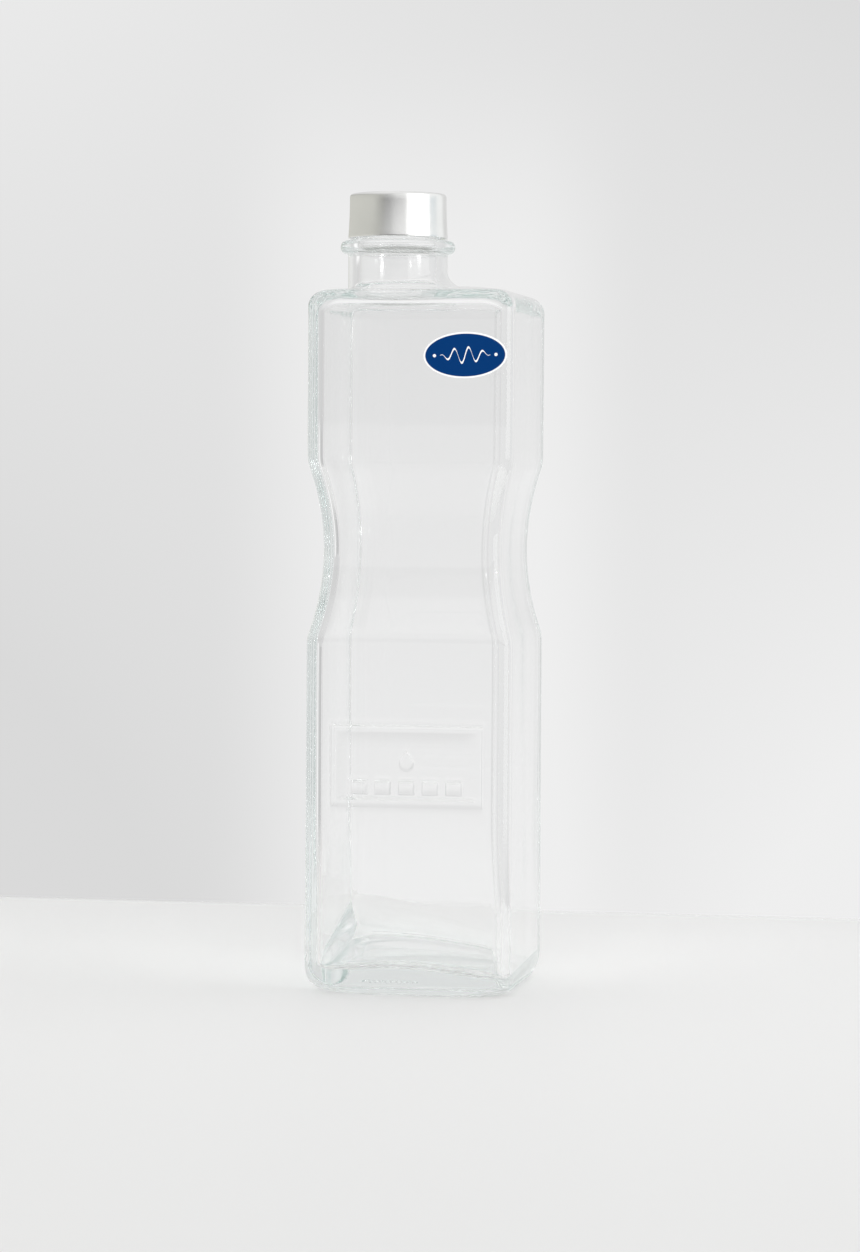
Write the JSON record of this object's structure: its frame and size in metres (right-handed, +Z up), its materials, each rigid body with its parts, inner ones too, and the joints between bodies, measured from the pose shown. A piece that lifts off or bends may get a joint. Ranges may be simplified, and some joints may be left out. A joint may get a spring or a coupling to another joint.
{
  "type": "glass juice bottle",
  "caption": "Square clear glass juice bottle with a pinched waist, an off-centre neck with an aluminium screw cap, a moulded panel and an oval label.",
  "frame": {"origin": "centre of the base, on the surface that the bottle stands on", "axes": "+Z up along the bottle, -Y out of the face with the label and the moulded panel, -X towards the side that the neck stands nearer to"},
  "size_m": [0.0784, 0.0793, 0.302],
  "materials": {
    "glass": "clear, faintly green in the thick places",
    "cap_metal": "satin",
    "label_print": "smooth blue sticker with a pale edge"
  },
  "bodies": {
    "root": {"bottle": "glass", "cap": "cap_metal", "label": "label_print"}
  },
  "joints": []
}
